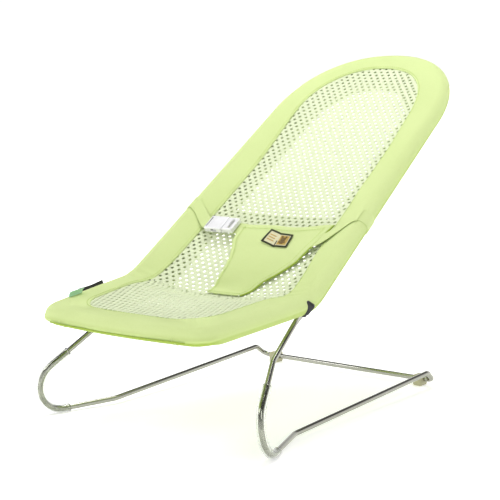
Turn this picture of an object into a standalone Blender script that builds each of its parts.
"""Baby bouncer seat: a bent tube loop with a removable fabric cover, carried by a sprung wire base.

Metres, +Z up. The foot end looks along -Y, the head end along +Y, and the floor is Z = 0.
The cover's shape is drawn in developed coordinates: X is the distance from the middle, T the
distance along the side tube from the bend (negative on the seat, positive on the back), and
N the height above the tube's centre line, at right angles to the seat or back.
"""
import math

import bmesh
import bpy
from mathutils import Matrix, Vector

# Seat loop, measured on the tube's centre line
SEAT_SLOPE = math.radians(5.5)
BACK_SLOPE = math.radians(34.2)
BEND_RADIUS = 0.0930
BEND_CORNER_Y = 0.1643        # where the two slopes would meet, behind the wire's foremost point
BEND_CORNER_Z = 0.1853
SEAT_LENGTH = 0.2120
BACK_LENGTH = 0.4230          # straight sides of the back, from the middle of the bend
HEAD_LENGTH = 0.1630          # the rounded head beyond them
HALF_FRONT = 0.1433
HALF_BEND = 0.1619
HALF_TOP = 0.1470
FRONT_CORNER = 0.0260
FRONT_BOW = 0.0085
INNER_BOW = 0.0050            # bow of the insert's front edge
INSERT_CORNER = 0.055
HEAD_POWER = 2.2              # 2 is an ellipse, more is squarer

TUBE_RADIUS = 0.0100
TUBE_WALL = 0.0012
TUBE_END = 0.0015             # each tube stops this far from the middle of the bend
HEM_RADIUS = 0.0125           # fabric hem round the tube
HEM_WALL = 0.0018
GAP = 0.0004                  # clearance between touching pieces

# Wire base: corners of the bent wire on the +X side, with their bend radii
WIRE_RADIUS = 0.0040
LEG_TOP = (0.1510, 0.1694, 0.1783)
LEG_BEND = (0.1683, 0.0729, 0.1211)
NOSE = (0.2366, -0.0840, 0.0016)
FLOOR_BEND = (0.1679, 0.1231, 0.0089)
REAR_TOP = (0.1701, 0.4839, 0.0276)
REAR_DROP = (0.1679, 0.5061, 0.0113)
LEG_BEND_ARC = (0.030, 5)     # bend radius, and points along the arc
NOSE_ARC = (0.0391, 13)
FLOOR_BEND_ARC = (0.030, 5)
REAR_BEND_ARC = (0.012, 5)
SLEEVE_RADIUS = 0.00625
SLEEVE_START = 0.205          # share of the way from the leg bend to the nose corner
SLEEVE_END = 0.36             # share of the way from the floor bend to the nose corner
SPRING_GAP = 0.0008

# Cover
SHEET = 0.0016                # thickness of a fabric layer
BORDER_OUTER = 0.0150         # distances inwards from the tube's centre line
BORDER_INNER = 0.0400
SEAM_SEAT = 0.0115            # height of the border's inner seam over the seat
SEAM_HEAD = 0.0115            # and over the head, while it is at 0 round the waist
SEAM_SEAT_T = -0.060
SEAM_WAIST_T = (0.050, 0.290)
SEAM_HEAD_T = 0.500
MESH_SAG = 0.0065
INSERT_CLEARANCE = 0.0020
HEM_INNER = 0.0620            # inner edge of the under hem
HEM_DEPTH = -0.0108
SOCKET_REACH_SEAT = 0.020     # how far the socket's saddle runs along the tube
SOCKET_REACH_BACK = 0.030
HEM_CLEARANCE = 0.0018

# Harness
BAND_START = 0.1630
BAND_END = 0.1885
STRAP_RISE = 0.0410           # how far the straps climb from the buckle and panel to their bands
PANEL_LIFT = 0.0040
BELT_DROP = 0.0052
BUCKLE_X = -0.0690            # mouth of the buckle
BUCKLE_T = 0.1350
BUCKLE_LIFT = 0.0125
BUCKLE_BODY = (0.034, 0.030, 0.0090)
BUCKLE_CAVITY = (0.026, 0.0244, 0.0048)
PLUG_BASE = (0.020, 0.028, 0.0080)
PLUG_SLOT = (0.0060, 0.0200)
PLUG_GAP = 0.0006
TONGUE = (0.020, 0.0070, 0.0036)
PRONG_REACH = 0.022
BUTTON_RADIUS = 0.0028

COLOURS = {
    "lime": (0.60, 0.78, 0.26),
    "lime_dark": (0.42, 0.58, 0.12),
    "mesh": (0.80, 0.86, 0.72),
    "steel": (0.52, 0.53, 0.50),
    "tube": (0.45, 0.46, 0.48),
    "clear": (0.80, 0.82, 0.80),
    "foot": (0.50, 0.48, 0.36),
    "black": (0.02, 0.02, 0.025),
    "white": (0.86, 0.86, 0.86),
    "cream": (0.82, 0.74, 0.50),
    "mint": (0.50, 0.80, 0.62),
}
METALS = ("steel", "tube")
SIDES = (("right", 1), ("left", -1))


def clear_scene():
    for thing in list(bpy.data.objects):
        bpy.data.objects.remove(thing, do_unlink=True)


def collection(name):
    made = bpy.data.collections.new(name)
    bpy.context.scene.collection.children.link(made)
    return made


def material(name):
    if name in bpy.data.materials:
        return bpy.data.materials[name]
    made = bpy.data.materials.new(name)
    made.use_nodes = True
    shader = made.node_tree.nodes["Principled BSDF"]
    shader.inputs["Base Color"].default_value = (*COLOURS[name], 1.0)
    shader.inputs["Metallic"].default_value = 1.0 if name in METALS else 0.0
    shader.inputs["Roughness"].default_value = 0.25 if name in METALS else 0.6
    return made


clear_scene()
PARTS = collection("bouncer_seat")
CUTTERS = collection("cutters")


# ---------------------------------------------------------------- the loop's geometry

def side_profile(t, n=0.0):
    """Y and Z of the point at developed distance t and height n above the tube's centre line."""
    half_turn = (BACK_SLOPE - SEAT_SLOPE) / 2
    tangent = BEND_RADIUS * math.tan(half_turn)
    half_arc = BEND_RADIUS * half_turn
    if t < -half_arc:
        run = -(t + half_arc) + tangent
        slope = SEAT_SLOPE
        y = BEND_CORNER_Y - math.cos(slope) * run
        z = BEND_CORNER_Z - math.sin(slope) * run
    elif t > half_arc:
        run = t - half_arc + tangent
        slope = BACK_SLOPE
        y = BEND_CORNER_Y + math.cos(slope) * run
        z = BEND_CORNER_Z + math.sin(slope) * run
    else:
        slope = SEAT_SLOPE + (t + half_arc) / BEND_RADIUS
        centre_y = BEND_CORNER_Y - math.cos(SEAT_SLOPE) * tangent - math.sin(SEAT_SLOPE) * BEND_RADIUS
        centre_z = BEND_CORNER_Z - math.sin(SEAT_SLOPE) * tangent + math.cos(SEAT_SLOPE) * BEND_RADIUS
        y = centre_y + math.sin(slope) * BEND_RADIUS
        z = centre_z - math.cos(slope) * BEND_RADIUS
    return y - math.sin(slope) * n, z + math.cos(slope) * n, slope


FRONT_T = -SEAT_LENGTH
HEAD_T = BACK_LENGTH + HEAD_LENGTH
SHIFT_Y = -(side_profile(FRONT_T)[0] + side_profile(HEAD_T)[0]) / 2


def place(x, t, n=0.0):
    y, z, _slope = side_profile(t, n)
    return Vector((x, y + SHIFT_Y, z))


def local_frame(x, t, n):
    """Matrix whose X is the object's X, whose Y runs up the cover and whose Z leaves it."""
    slope = side_profile(t)[2]
    return Matrix.Translation(place(x, t, n)) @ Matrix.Rotation(slope, 4, "X")


def shifted(corner, side=1):
    return Vector((side * corner[0], corner[1] + SHIFT_Y, corner[2]))


def half_width(t):
    """Half width of the loop between its corners."""
    corner_t = FRONT_T + FRONT_CORNER
    if t <= 0:
        share = (t - corner_t) / -corner_t
        return HALF_FRONT + (HALF_BEND - HALF_FRONT) * max(share, 0.0)
    return HALF_BEND + (HALF_TOP - HALF_BEND) * min(t / BACK_LENGTH, 1.0)


def spread(start, end, count):
    return [start + (end - start) * k / (count - 1) for k in range(count)]


def seat_half(inset, end_t, corner):
    """(x, t) from the middle of the front edge, round the corner, along the side to end_t."""
    edge = HALF_FRONT - inset
    front = FRONT_T + inset
    bow = INNER_BOW if inset > BORDER_OUTER else FRONT_BOW
    points = [(x, front + bow * (x / edge) ** 2) for x in spread(0.0, edge - corner, 5)]
    for angle in spread(0.0, math.pi / 2, 6)[1:]:
        t = front + bow + corner * (1.0 - math.cos(angle))
        points.append((half_width(t) - inset - corner * (1.0 - math.sin(angle)), t))
    side = spread(points[-1][1], end_t, 7)[1:]
    points += [(half_width(t) - inset, t) for t in side]
    return points


def back_half(inset, start_t, rows=8):
    """(x, t) from the side at start_t, along the side and round the head to its middle."""
    points = [(half_width(t) - inset, t) for t in spread(start_t, BACK_LENGTH, rows)]
    wide = HALF_TOP - inset
    tall = HEAD_LENGTH - inset
    for angle in spread(0.0, math.pi / 2, 11)[1:]:
        x = wide * max(math.cos(angle), 0.0) ** (2 / HEAD_POWER)
        t = BACK_LENGTH + tall * max(math.sin(angle), 0.0) ** (2 / HEAD_POWER)
        points.append((x, t))
    return points


def bend_run(start_t, end_t, count):
    return [(half_width(t), t) for t in spread(start_t, end_t, count)]


def both_sides(half):
    """A half path that starts in the middle, completed over x = 0."""
    return [(-x, t) for x, t in reversed(half[1:])] + list(half)


# ---------------------------------------------------------------- shape helpers

def add(thing, colour, where=None):
    (where or PARTS).objects.link(thing)
    if colour:
        thing.data.materials.append(material(colour))
    return thing


def wire(name, points, radius, colour, caps=True, resolution=2):
    """A round rod along the points, or an open skin when caps is False."""
    curve = bpy.data.curves.new(name, "CURVE")
    curve.dimensions = "3D"
    curve.bevel_depth = radius
    curve.bevel_resolution = resolution
    curve.use_fill_caps = caps
    spline = curve.splines.new("POLY")
    spline.points.add(len(points) - 1)
    for point, place_at in zip(spline.points, points):
        point.co = (*place_at, 1.0)
    return add(bpy.data.objects.new(name, curve), colour)


def pipe(name, points, radius, wall, colour, resolution=3):
    """A hollow tube of the given outer radius, open at both ends."""
    made = wire(name, points, radius, colour, caps=False, resolution=resolution)
    shell = made.modifiers.new("wall", "SOLIDIFY")
    shell.thickness = wall
    shell.offset = -1.0
    return made


def as_mesh(curve_object, name):
    """The curve object's evaluated mesh, with its caps welded, as a new object."""
    graph = bpy.context.evaluated_depsgraph_get()
    mesh = bpy.data.meshes.new_from_object(curve_object.evaluated_get(graph))
    work = bmesh.new()
    work.from_mesh(mesh)
    bmesh.ops.remove_doubles(work, verts=work.verts, dist=0.00001)
    bmesh.ops.recalc_face_normals(work, faces=work.faces)
    work.to_mesh(mesh)
    work.free()
    made = bpy.data.objects.new(name, mesh)
    made.matrix_world = curve_object.matrix_world.copy()
    bpy.data.objects.remove(curve_object, do_unlink=True)
    return made


def block(name, size, matrix, colour=None, round_edge=0.0, where=None):
    """A box of the given size, centred on the matrix, with its edges rounded."""
    work = bmesh.new()
    bmesh.ops.create_cube(work, size=1.0)
    bmesh.ops.scale(work, vec=size, verts=work.verts)
    if round_edge:
        bmesh.ops.bevel(work, geom=list(work.edges), offset=round_edge, segments=2,
                        profile=0.5, affect="EDGES")
    mesh = bpy.data.meshes.new(name)
    work.to_mesh(mesh)
    work.free()
    made = add(bpy.data.objects.new(name, mesh), colour, where)
    made.matrix_world = matrix
    return made


def cylinder(name, radius, length, start, direction, colour=None, where=None, segments=20):
    """A cylinder from start along direction."""
    work = bmesh.new()
    bmesh.ops.create_cone(work, cap_ends=True, segments=segments, radius1=radius,
                          radius2=radius, depth=length)
    bmesh.ops.translate(work, vec=(0.0, 0.0, length / 2), verts=work.verts)
    mesh = bpy.data.meshes.new(name)
    work.to_mesh(mesh)
    work.free()
    made = add(bpy.data.objects.new(name, mesh), colour, where)
    turn = Vector((0, 0, 1)).rotation_difference(direction).to_matrix().to_4x4()
    made.matrix_world = Matrix.Translation(start) @ turn
    return made


def boolean(target, tool, operation):
    """Cut the tool from the target, or join it on; the tool becomes a hidden guide."""
    tool.hide_render = True
    tool.display_type = "WIRE"
    change = target.modifiers.new(tool.name, "BOOLEAN")
    change.operation = operation
    change.object = tool
    change.solver = "EXACT"


def sheet(name, rows, thickness, colour):
    """A fabric sheet: a grid of points made solid. The rows run across, and follow each other."""
    work = bmesh.new()
    grid = [[work.verts.new(point) for point in row] for row in rows]
    for low, high in zip(grid, grid[1:]):
        for k in range(len(low) - 1):
            work.faces.new((low[k], low[k + 1], high[k + 1], high[k]))
    mesh = bpy.data.meshes.new(name)
    work.to_mesh(mesh)
    work.free()
    made = add(bpy.data.objects.new(name, mesh), colour)
    solid = made.modifiers.new("thickness", "SOLIDIFY")
    solid.thickness = thickness
    solid.offset = 0.0
    solid.use_even_offset = False


def rounded(corners, bends):
    """The corners joined by straight runs, with an arc at each inner one.

    Each bend is its radius and the number of points along its arc.
    """
    points = [corners[0]]
    for before, corner, after, (radius, steps) in zip(corners, corners[1:], corners[2:], bends):
        back = (before - corner).normalized()
        ahead = (after - corner).normalized()
        half = back.angle(ahead) / 2
        centre = corner + (back + ahead).normalized() * (radius / math.sin(half))
        first = corner + back * (radius / math.tan(half)) - centre
        last = corner + ahead * (radius / math.tan(half)) - centre
        across = (last - first * (last.dot(first) / first.length_squared)).normalized()
        turn = math.pi - 2 * half
        for angle in spread(0.0, turn, steps):
            points.append(centre + first * math.cos(angle) + across * (radius * math.sin(angle)))
    points.append(corners[-1])
    return points


# ---------------------------------------------------------------- tube loop and sockets

def tube_path(points):
    return [place(x, t) for x, t in points]


def make_tubes():
    """Seat tube and back tube meet, a gap apart, in the middle of each bend."""
    seat = both_sides(seat_half(0.0, -0.024, FRONT_CORNER) + bend_run(-0.024, -TUBE_END, 5)[1:])
    pipe("seat_tube", tube_path(seat), TUBE_RADIUS, TUBE_WALL, "tube")
    back = bend_run(TUBE_END, 0.024, 5)[:-1] + back_half(0.0, 0.024)
    over = back + [(-x, t) for x, t in reversed(back[:-1])]
    pipe("back_tube", tube_path(over), TUBE_RADIUS, TUBE_WALL, "tube")


def make_hems():
    """The cover's hem round each tube, stopping short of the sockets."""
    seat_end = -SOCKET_REACH_SEAT - HEM_CLEARANCE
    seat = both_sides(seat_half(0.0, seat_end, FRONT_CORNER))
    pipe("seat_hem", tube_path(seat), HEM_RADIUS, HEM_WALL, "lime")
    half = back_half(0.0, SOCKET_REACH_BACK + HEM_CLEARANCE)
    over = half + [(-x, t) for x, t in reversed(half[:-1])]
    pipe("back_hem", tube_path(over), HEM_RADIUS, HEM_WALL, "lime")


def leg_axis(side):
    """The end of the leg wire, and the direction in which it enters the socket."""
    top = shifted(LEG_TOP, side)
    return top, (top - shifted(LEG_BEND, side)).normalized()


def make_socket(name, side):
    """Plastic joint: a saddle round both tube ends, and a boss that takes the leg wire."""
    reach = bend_run(-SOCKET_REACH_SEAT, SOCKET_REACH_BACK, 9)
    path = [place(side * x, t) for x, t in reach]
    saddle = as_mesh(wire(name + "_saddle", path, HEM_RADIUS - 0.0002, None, resolution=3),
                     "socket_" + name)
    add(saddle, "black")
    top, along = leg_axis(side)
    sideways = along.cross(Vector((0, 0, 1))).normalized() * -1
    upward = sideways.cross(along)
    inboard = Vector((-side, 0, 0))
    frame = Matrix((sideways, upward, along)).transposed().to_4x4()
    frame.translation = top + along * 0.0135 + inboard * 0.0010 + upward * 0.0010
    boss = block(name + "_boss", (0.0165, 0.0150, 0.0300), frame, round_edge=0.002, where=CUTTERS)
    boolean(saddle, boss, "UNION")
    long_reach = bend_run(-SOCKET_REACH_SEAT - 0.01, SOCKET_REACH_BACK + 0.01, 17)
    passage_path = [place(side * x, t) for x, t in long_reach]
    passage = as_mesh(wire(name + "_way", passage_path, TUBE_RADIUS + 0.0004, None, resolution=3),
                      name + "_passage")
    CUTTERS.objects.link(passage)
    boolean(saddle, passage, "DIFFERENCE")
    bore = cylinder(name + "_bore", WIRE_RADIUS + 0.0003, 0.0260, top - along * 0.003, along,
                    where=CUTTERS)
    boolean(saddle, bore, "DIFFERENCE")
    start = top + along * 0.0110 + inboard * 0.0200
    hole = cylinder(name + "_button_hole", BUTTON_RADIUS + 0.0003, 0.0160, start, -inboard,
                    where=CUTTERS)
    boolean(saddle, hole, "DIFFERENCE")
    tip = top + along * 0.0110 + inboard * (WIRE_RADIUS + 0.0020)
    cylinder("lock_button_" + name, BUTTON_RADIUS, 0.0055, tip, inboard, "black", segments=16)


# ---------------------------------------------------------------- wire base

def spring_point(side):
    """Where the leg wire and the base wire meet, at the top of the clear sleeve."""
    start = shifted(LEG_BEND, side)
    return start.lerp(shifted(NOSE, side), SLEEVE_START)


def make_leg(name, side):
    top, along = leg_axis(side)
    joint = spring_point(side)
    down = (shifted(NOSE, side) - shifted(LEG_BEND, side)).normalized()
    corners = [top + along * 0.0215, shifted(LEG_BEND, side), joint - down * (SPRING_GAP / 2)]
    wire("leg_wire_" + name, rounded(corners, [LEG_BEND_ARC]), WIRE_RADIUS, "steel")


def half_base(side):
    down = (shifted(NOSE, side) - shifted(LEG_BEND, side)).normalized()
    start = spring_point(side) + down * (SPRING_GAP / 2)
    drop = shifted(REAR_DROP, side)
    middle = Vector((0.0, drop.y, drop.z))
    corners = [start, shifted(NOSE, side), shifted(FLOOR_BEND, side), shifted(REAR_TOP, side),
               drop, middle]
    return corners, [NOSE_ARC, FLOOR_BEND_ARC, REAR_BEND_ARC, REAR_BEND_ARC]


def make_base():
    """One wire: round both noses, back along the floor, and across behind."""
    corners, bends = half_base(1)
    right = rounded(corners, bends)
    left = [Vector((-p.x, p.y, p.z)) for p in reversed(right[:-1])]
    wire("base_wire", right + left, WIRE_RADIUS, "steel")


def make_sleeve(name, side):
    """Clear anti-slip sleeve over the nose bend, from the leg to the floor run."""
    down = (shifted(NOSE, side) - shifted(LEG_BEND, side)).normalized()
    start = spring_point(side) + down * 0.0030
    end = shifted(FLOOR_BEND, side).lerp(shifted(NOSE, side), SLEEVE_END)
    path = rounded([start, shifted(NOSE, side), end], [NOSE_ARC])
    wall = SLEEVE_RADIUS - WIRE_RADIUS - 0.0003
    pipe("front_sleeve_" + name, path, SLEEVE_RADIUS, wall, "clear", resolution=2)


def make_foot(name, side):
    """Rubber block clamped on the end of the cross wire, with its screw behind."""
    drop = shifted(REAR_DROP, side)
    middle = Vector((side * 0.1440, drop.y, 0.0092))
    foot = block("rear_foot_" + name, (0.0170, 0.0210, 0.0184), Matrix.Translation(middle), "foot",
                 round_edge=0.0035)
    bore = cylinder(name + "_foot_bore", WIRE_RADIUS + 0.0003, 0.0400,
                    Vector((middle.x - 0.0200, drop.y, drop.z)), Vector((1, 0, 0)), where=CUTTERS)
    boolean(foot, bore, "DIFFERENCE")
    face = Vector((middle.x, middle.y + 0.0105, 0.0092))
    hole = cylinder(name + "_foot_hole", 0.0018, 0.0070, face + Vector((0, 0.0020, 0)),
                    Vector((0, -1, 0)), where=CUTTERS, segments=12)
    boolean(foot, hole, "DIFFERENCE")
    screw = cylinder("foot_screw_" + name, 0.0015, 0.0044, face - Vector((0, 0.0042, 0)),
                     Vector((0, 1, 0)), "steel", segments=12)
    head = cylinder(name + "_screw_head", 0.0032, 0.0018, face + Vector((0, GAP / 2, 0)),
                    Vector((0, 1, 0)), where=CUTTERS, segments=16)
    boolean(screw, head, "UNION")


# ---------------------------------------------------------------- fabric cover

def ease(share):
    share = min(max(share, 0.0), 1.0)
    return share * share * (3.0 - 2.0 * share)


def seam_height(t):
    """Height of the border's inner seam: the cover is tight over the seat and the head."""
    low_start, low_end = SEAM_WAIST_T
    seat = ease((low_start - t) / (low_start - SEAM_SEAT_T))
    head = ease((t - low_end) / (SEAM_HEAD_T - low_end))
    return SEAM_SEAT * seat + SEAM_HEAD * head


def border_height(inset, t):
    """The border runs straight from its seam to a tangent on the hem."""
    seam = seam_height(t)
    pitch = math.asin(HEM_RADIUS / math.hypot(BORDER_INNER, seam)) - math.atan2(seam, BORDER_INNER)
    return seam + (BORDER_INNER - inset) * math.tan(pitch)


def insert_half_width(t):
    """Half width of the mesh insert at t."""
    front = FRONT_T + BORDER_INNER + INNER_BOW
    corner = INSERT_CORNER
    wide = half_width(t) - BORDER_INNER
    if t < front + corner:
        rise = max(front + corner - t, 0.0) / corner
        return wide - corner + corner * math.sqrt(max(1.0 - rise * rise, 0.0))
    if t > BACK_LENGTH:
        rise = min((t - BACK_LENGTH) / (HEAD_LENGTH - BORDER_INNER), 1.0)
        return (HALF_TOP - BORDER_INNER) * (1.0 - rise ** HEAD_POWER) ** (1 / HEAD_POWER)
    return wide


def mesh_height(x, t):
    """The insert hangs slightly below its edge."""
    wide = max(insert_half_width(t), 0.001)
    across = max(1.0 - (x / wide) ** 2, 0.0)
    return seam_height(t) - MESH_SAG * across


def insert(name, stations):
    """A piece of the mesh insert between the given stations."""
    rows = []
    for t in stations:
        wide = insert_half_width(t) - INSERT_CLEARANCE
        rows.append([place(x, t, mesh_height(x, t)) for x in spread(-wide, wide, 9)])
    sheet(name, rows, SHEET, "mesh")


def strip(name, outer, inner, side=1):
    """A border piece between two matching lines of (x, t)."""
    low = []
    high = []
    for (x_out, t_out), (x_in, t_in) in zip(outer, inner):
        low.append(place(side * x_out, t_out, border_height(BORDER_OUTER, t_out)))
        high.append(place(side * x_in, t_in, border_height(BORDER_INNER, t_in)))
    rows = [high, low] if side > 0 else [low, high]
    sheet(name, rows, SHEET, "lime")


def make_borders():
    """Front, side and head borders, sewn to each other and to the insert."""
    side_from = FRONT_T + BORDER_INNER + INNER_BOW + INSERT_CORNER + 0.006
    front_outer = seat_half(BORDER_OUTER, side_from, FRONT_CORNER - 0.008)
    front_inner = seat_half(BORDER_INNER, side_from, INSERT_CORNER)
    whole_outer = both_sides(front_outer)
    whole_inner = both_sides(front_inner)
    strip("cover_front_border", whole_outer, whole_inner)
    stations = spread(side_from + 0.001, -0.024, 4) + spread(-0.018, 0.024, 6)
    stations += spread(0.080, BACK_LENGTH - 0.001, 6)
    for name, side in SIDES:
        outer = [(half_width(t) - BORDER_OUTER, t) for t in stations]
        inner = [(half_width(t) - BORDER_INNER, t) for t in stations]
        strip("cover_" + name + "_border", outer, inner, side)
    outer = back_half(BORDER_OUTER, BACK_LENGTH, 2)[1:]
    inner = back_half(BORDER_INNER, BACK_LENGTH, 2)[1:]
    over_outer = outer + [(-x, t) for x, t in reversed(outer[:-1])]
    over_inner = inner + [(-x, t) for x, t in reversed(inner[:-1])]
    strip("cover_head_border", over_outer, over_inner)


def make_inserts():
    """Open mesh, in a seat piece and a back piece that meet in a seam at the bend."""
    front = FRONT_T + BORDER_INNER + INNER_BOW + INSERT_CLEARANCE
    seat = spread(front, front + 0.050, 6)[:-1] + spread(front + 0.050, -0.0250, 4)
    insert("seat_mesh", seat + spread(-0.018, -0.0005, 3))
    back = spread(0.0005, 0.0240, 4) + spread(0.070, BACK_LENGTH, 6)
    top = HEAD_T - BORDER_INNER - INSERT_CLEARANCE
    back += [BACK_LENGTH + (top - BACK_LENGTH) * math.sin(a) for a in spread(0.2, math.pi / 2, 6)]
    insert("back_mesh", back)


def make_under_hems():
    """The turned-under edge of the cover, below the border and a little wider."""
    outer = both_sides(seat_half(0.0130, -0.040, FRONT_CORNER - 0.008))
    inner = both_sides(seat_half(HEM_INNER, -0.040, INSERT_CORNER))
    rows = [[place(x, t, HEM_DEPTH) for x, t in line] for line in (inner, outer)]
    sheet("seat_under_hem", rows, SHEET, "lime_dark")
    halves = []
    for inset in (HEM_INNER, 0.0130):
        half = back_half(inset, 0.042, 6)
        line = half + [(-x, t) for x, t in reversed(half[:-1])]
        halves.append([place(x, t, HEM_DEPTH) for x, t in line])
    sheet("back_under_hem", halves, SHEET, "lime_dark")


# ---------------------------------------------------------------- harness

def cover_height(x, t):
    """Height of the cover's top layer at any point inside the loop."""
    inset = half_width(t) - abs(x)
    if inset < BORDER_INNER:
        return border_height(inset, t)
    return mesh_height(x, t)


def cloth(name, rows_xt, lift, thickness, colour):
    """A sheet that follows the cover at the given height above or below it."""
    rows = [[place(x, t, cover_height(x, t) + lift) for x, t in row] for row in rows_xt]
    sheet(name, rows, thickness, colour)


def strap_rows(x_from, x_to, t_from, t_to, columns=5, rise=0.0):
    """Rows of (x, t) over a strap, whose far end lies higher up the back by the rise."""
    run = x_to - x_from
    return [[(x, t + rise * (x - x_from) / run) for x in spread(x_from, x_to, columns)]
            for t in spread(t_from, t_to, 3)]


def make_bands():
    """Fabric loops round the side tubes, and the belt that joins them behind the mesh."""
    for name, side in SIDES:
        path = [place(side * half_width(t), t) for t in spread(BAND_START, BAND_END, 3)]
        pipe("anchor_band_" + name, path, HEM_RADIUS + 0.0016, 0.0012, "lime")
    edge = half_width(BAND_END) - 0.0155
    cloth("rear_belt", strap_rows(-edge, edge, BAND_START - 0.012, BAND_END - 0.004, 17),
          -BELT_DROP, SHEET, "lime")


def panel_edges(t):
    """Left and right edge of the crotch panel at t."""
    rise = t / 0.150
    left = -0.043 + 0.008 * rise
    right = 0.043 + 0.062 * min(rise, 1.0) ** 0.85
    return left, right


def make_panel():
    """The wide crotch and waist panel, its sewn patch and its strap to the near band."""
    rows = []
    for t in spread(0.004, 0.146, 8):
        left, right = panel_edges(t)
        rows.append([(x, t) for x in spread(left, right, 9)])
    cloth("crotch_panel", rows, PANEL_LIFT, SHEET, "lime")
    cloth("crotch_patch", strap_rows(-0.040, 0.040, -0.022, 0.0030, 9), PANEL_LIFT, SHEET, "lime")
    strap_end = half_width(BAND_START) - HEM_RADIUS - 0.0032
    cloth("waist_strap", strap_rows(0.1075, strap_end, 0.122, 0.147, rise=STRAP_RISE), PANEL_LIFT,
          SHEET, "lime")
    cloth("badge", strap_rows(0.014, 0.048, 0.094, 0.126), PANEL_LIFT + 0.0024, 0.0012, "cream")


def make_buckle():
    """Side-release buckle: body on the far strap, plug on the panel, two springy prongs."""
    lift = cover_height(BUCKLE_X, BUCKLE_T) + BUCKLE_LIFT
    mouth = local_frame(BUCKLE_X, BUCKLE_T, lift)

    def at(x, y=0.0, z=0.0):
        return mouth @ Matrix.Translation((x, y, z))

    long = BUCKLE_BODY[0]
    thick = BUCKLE_BODY[2]
    body = block("buckle_body", BUCKLE_BODY, at(-long / 2), "white", round_edge=0.002)
    deep = BUCKLE_CAVITY[0]
    hollow = block("buckle_hollow", (deep + 0.002, BUCKLE_CAVITY[1], BUCKLE_CAVITY[2]),
                   at(-deep / 2 + 0.001), where=CUTTERS)
    boolean(body, hollow, "DIFFERENCE")
    window = block("buckle_window", (0.011, 0.050, BUCKLE_CAVITY[2]), at(-0.0155), where=CUTTERS)
    boolean(body, window, "DIFFERENCE")
    slot = block("buckle_slot", (0.0030, 0.022, 0.030), at(-long + 0.0040), where=CUTTERS)
    boolean(body, slot, "DIFFERENCE")

    base_long = PLUG_BASE[0]
    base_thick = PLUG_BASE[2]
    plug = block("buckle_plug", PLUG_BASE, at(base_long / 2 + PLUG_GAP), "white", round_edge=0.0015)
    tongue = block("plug_tongue", (TONGUE[0] + 0.004, TONGUE[1], TONGUE[2]),
                   at(-TONGUE[0] / 2 + 0.002), where=CUTTERS)
    boolean(plug, tongue, "UNION")
    opening = block("plug_slot", (PLUG_SLOT[0], PLUG_SLOT[1], 0.030), at(0.0125), where=CUTTERS)
    boolean(plug, opening, "DIFFERENCE")

    for name, side in (("upper", 1), ("lower", -1)):
        prong(name, side, mouth)
    tab_z = -(base_thick / 2 + 0.0010)
    rows = []
    for y in spread(-0.0125, 0.0125, 3):
        rows.append([mouth @ Vector((x, y, tab_z)) for x in spread(0.0100, 0.0330, 4)])
    sheet("plug_webbing", rows, 0.0012, "lime")
    end = -half_width(BAND_START) + HEM_RADIUS + 0.0045
    start = BUCKLE_X - long + 0.0020
    far_rows = []
    for t in spread(BUCKLE_T - 0.0125, BUCKLE_T + 0.0125, 3):
        row = []
        for x in spread(end, start, 5):
            share = (x - end) / (start - end)
            along = t + STRAP_RISE * (1.0 - share)
            low = cover_height(x, along) + 0.0030
            high = lift - thick / 2 - 0.0012
            row.append(place(x, along, low + (high - low) * share * share))
        far_rows.append(row)
    sheet("buckle_strap", far_rows, 0.0012, "lime")


def prong(name, side, mouth):
    """Springy arm with a shallow barb; its origin is at its root."""
    outline = [(0.0, 0.0072), (0.0, 0.0100), (-0.0085, 0.0102), (-0.0105, 0.0118),
               (-0.0185, 0.0118), (-PRONG_REACH, 0.0088), (-PRONG_REACH, 0.0068),
               (-0.0150, 0.0078)]
    curve = bpy.data.curves.new("buckle_prong_" + name, "CURVE")
    curve.dimensions = "2D"
    curve.fill_mode = "BOTH"
    curve.extrude = 0.0019
    spline = curve.splines.new("POLY")
    spline.points.add(len(outline) - 1)
    spline.use_cyclic_u = True
    for point, (x, y) in zip(spline.points, outline):
        point.co = (x, side * (y - 0.0086), 0.0, 1.0)
    made = add(bpy.data.objects.new("buckle_prong_" + name, curve), "white")
    made.matrix_world = mouth @ Matrix.Translation((PLUG_GAP - 0.0004, side * 0.0086, 0.0))


def make_tags():
    """Two small sewn tags on the left edge of the seat, one folded black, one mint."""
    for name, colour, start, end in (("care_tag", "black", -0.118, -0.060),
                                     ("size_tag", "mint", -0.158, -0.128)):
        rows = []
        for drop in (0.0, 0.0045, 0.0090):
            angle = math.radians(150)
            reach = HEM_RADIUS + 0.0012 + drop
            row = []
            for t in spread(start, end, 4):
                x = -half_width(t) + reach * math.cos(angle)
                row.append(place(x, t, reach * math.sin(angle)))
            rows.append(row)
        sheet(name, rows, 0.0009, colour)


def make_closure():
    """Hook-and-loop strips that close the cover below the front edge."""
    for name, height in (("closure_loop", HEM_DEPTH - 0.0020), ("closure_hook", HEM_DEPTH - 0.0038)):
        rows = []
        for t in (FRONT_T + 0.030, FRONT_T + 0.050):
            rows.append([place(x, t, height) for x in spread(-0.080, 0.080, 2)])
        sheet(name, rows, 0.0012, "lime_dark")


make_tubes()
make_hems()
for side_name, side_sign in SIDES:
    make_socket(side_name, side_sign)
    make_leg(side_name, side_sign)
    make_sleeve(side_name, side_sign)
    make_foot(side_name, side_sign)
make_base()
make_borders()
make_inserts()
make_under_hems()
make_bands()
make_panel()
make_buckle()
make_tags()
make_closure()
